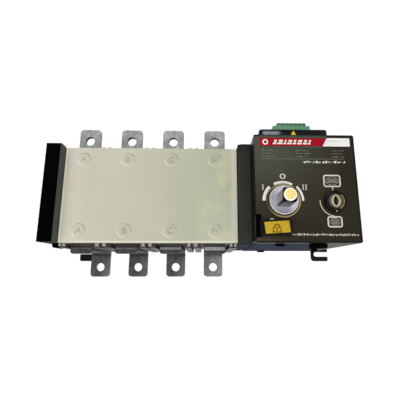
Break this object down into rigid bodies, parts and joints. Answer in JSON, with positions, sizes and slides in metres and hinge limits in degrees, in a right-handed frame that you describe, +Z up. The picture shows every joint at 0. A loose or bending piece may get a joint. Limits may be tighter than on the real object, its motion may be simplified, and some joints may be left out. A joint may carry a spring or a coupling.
{
  "type": "automatic transfer switch",
  "caption": "Wall-mounted transfer switch: back-to-back switch modules with bar terminals, a motor drive box with a dial and key lock, and a pull-off control plug.",
  "frame": {"origin": "centre of the base plate's back face, on the wall", "axes": "+Z up, +X to the right of someone who faces the switch, +Y into the wall; the front looks along -Y"},
  "size_m": [0.3526, 0.18, 0.1864],
  "materials": {
    "cream_plastic": "satin moulded cream-grey",
    "dark_moulding": "matt dark grey thermoset moulding",
    "black_plastic": "satin black",
    "olive_black_face": "fine satin olive-black",
    "gloss_black": "gloss black",
    "tinned_copper": "matt tin plating on copper",
    "galvanised_steel": "zinc plated sheet",
    "blue_grey_steel": "satin blue-grey",
    "black_steel": "satin black",
    "bright_steel": "turned bright",
    "yellow_zinc": "yellow passivated zinc",
    "green_plastic": "satin green",
    "board_green": "coated glass-fibre board",
    "rotor_moulding": "red-brown arc-proof moulding"
  },
  "bodies": {
    "root": {"base_plate": "galvanised_steel", "bottom_plate": "blue_grey_steel", "bottom_screw_front": "black_steel", "bottom_screw_rear": "black_steel", "carrier_plate_front": "galvanised_steel", "carrier_plate_rear": "galvanised_steel", "chassis": "galvanised_steel", "control_board": "board_green", "cover_latch": "black_plastic", "dial_cup": "black_plastic", "dial_ring": "yellow_zinc", "end_frame": "black_plastic", "foot_bottom_left": "black_steel", "foot_bottom_right": "black_steel", "foot_top_left": "black_steel", "foot_top_right": "black_steel", "front_cover": "olive_black_face", "front_plate": "cream_plastic", "front_pole_housing_A": "dark_moulding", "front_pole_housing_B": "dark_moulding", "front_pole_housing_C": "dark_moulding", "front_pole_housing_N": "dark_moulding", "load_bar_A": "tinned_copper", "load_bar_B": "tinned_copper", "load_bar_C": "tinned_copper", "load_bar_N": "tinned_copper", "load_link_A": "tinned_copper", "load_link_B": "tinned_copper", "load_link_C": "tinned_copper", "load_link_N": "tinned_copper", "lock_barrel": "black_plastic", "motor": "black_steel", "rail_bottom": "galvanised_steel", "rail_top": "galvanised_steel", "rear_plate": "dark_moulding", "rear_pole_housing_A": "dark_moulding", "rear_pole_housing_B": "dark_moulding", "rear_pole_housing_C": "dark_moulding", "rear_pole_housing_N": "dark_moulding", "signal_switches": "black_plastic", "source1_terminal_A": "tinned_copper", "source1_terminal_B": "tinned_copper", "source1_terminal_C": "tinned_copper", "source1_terminal_N": "tinned_copper", "source2_terminal_A": "tinned_copper", "source2_terminal_B": "tinned_copper", "source2_terminal_C": "tinned_copper", "source2_terminal_N": "tinned_copper", "spacer_cover": "olive_black_face", "spacer_frame": "blue_grey_steel", "terminal_header": "green_plastic", "terminal_shroud": "gloss_black"},
    "drive_shaft": {"drive_shaft": "bright_steel"},
    "front_rotor": {"front_rotor": "rotor_moulding"},
    "rear_rotor": {"rear_rotor": "rotor_moulding"},
    "motor_pinion": {"motor_pinion": "bright_steel"},
    "key_cylinder": {"key_cylinder": "bright_steel"},
    "padlock_hasp": {"padlock_hasp": "black_plastic"},
    "terminal_plug": {"terminal_plug": "green_plastic"}
  },
  "joints": [
    {"name": "drive_turn", "type": "hinge", "parent": "root", "child": "drive_shaft", "pos_m": [0.0802, -0.15, -0.0134], "axis": [0, -1, 0], "range_deg": [-67, 67]},
    {"name": "front_rotor_turn", "type": "hinge", "parent": "root", "child": "front_rotor", "pos_m": [0, -0.0831, 0], "axis": [1, 0, 0], "range_deg": [-20.2, 20.2]},
    {"name": "rear_rotor_turn", "type": "hinge", "parent": "root", "child": "rear_rotor", "pos_m": [0, -0.0438, 0], "axis": [1, 0, 0], "range_deg": [-20.2, 20.2]},
    {"name": "pinion_turn", "type": "hinge", "parent": "root", "child": "motor_pinion", "pos_m": [0.1132, -0.115, -0.0134], "axis": [0, -1, 0], "range_deg": [-202, 202]},
    {"name": "key_turn", "type": "hinge", "parent": "root", "child": "key_cylinder", "pos_m": [0.1334, -0.15, -0.0142], "axis": [0, -1, 0], "range_deg": [0, 90]},
    {"name": "hasp_pull", "type": "slide", "parent": "root", "child": "padlock_hasp", "axis": [0, -1, 0], "range_m": [0, 0.018]},
    {"name": "plug_pull", "type": "slide", "parent": "root", "child": "terminal_plug", "axis": [0, 0, 1], "range_m": [0, 0.02]}
  ],
  "couplings": [
    {"joint": "front_rotor_turn", "follows": "drive_turn", "ratio": 0.3},
    {"joint": "rear_rotor_turn", "follows": "drive_turn", "ratio": 0.3},
    {"joint": "pinion_turn", "follows": "drive_turn", "ratio": -3}
  ]
}
